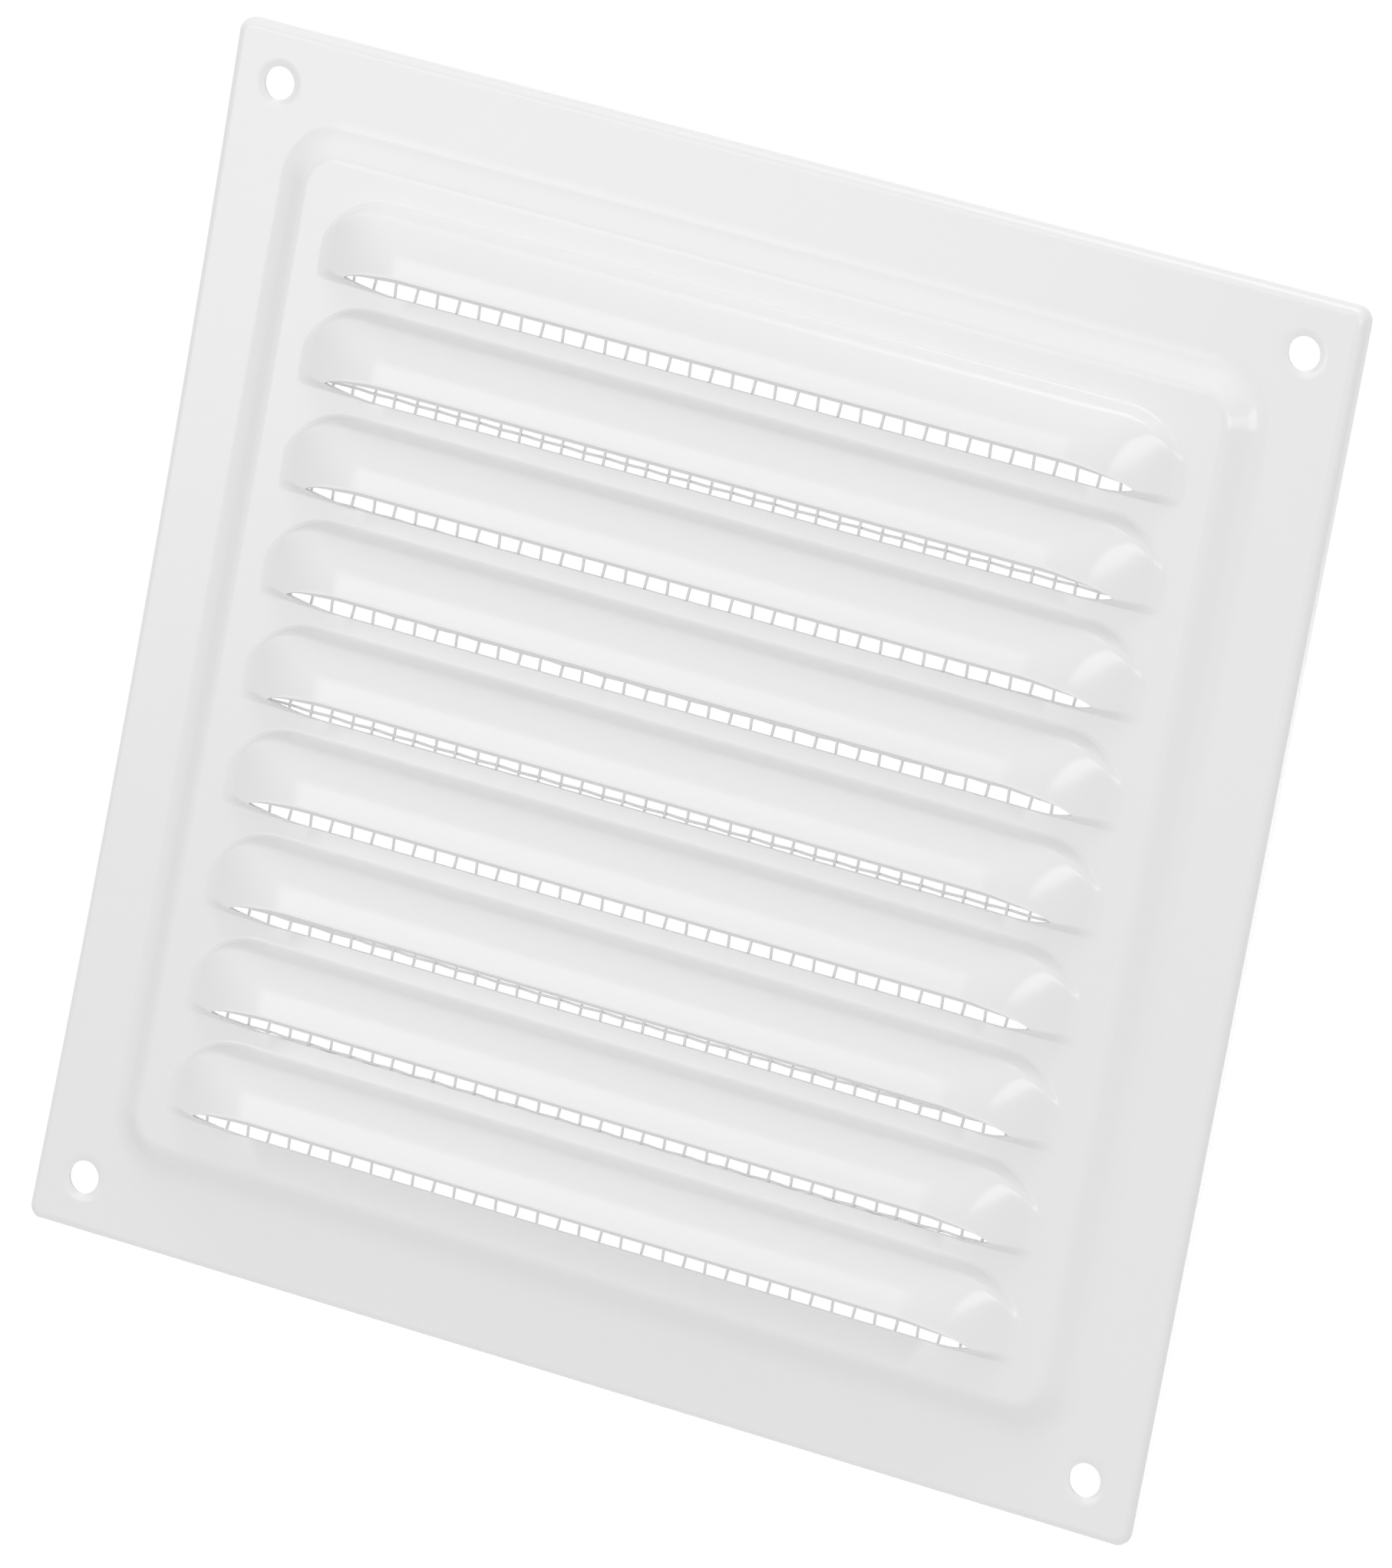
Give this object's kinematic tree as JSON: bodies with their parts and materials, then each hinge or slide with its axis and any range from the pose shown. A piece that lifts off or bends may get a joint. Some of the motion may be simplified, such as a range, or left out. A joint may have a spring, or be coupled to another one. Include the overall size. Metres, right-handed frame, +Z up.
{
  "type": "louvred vent grille",
  "caption": "Square white pressed-steel vent grille: flat flange with screw holes, raised field of hooded louvres opening downward, and a wire insect screen behind.",
  "frame": {"origin": "middle of the four screw holes, on the back face of the flange", "axes": "+X right and +Z up seen from the front, which faces -Y, as the grille hangs on a wall"},
  "size_m": [0.165, 0.0107, 0.165],
  "materials": {
    "white_paint": "semi-gloss powder coat",
    "screen_wire": "galvanised wire"
  },
  "bodies": {
    "root": {"faceplate": "white_paint", "insect_screen": "screen_wire"}
  },
  "joints": []
}
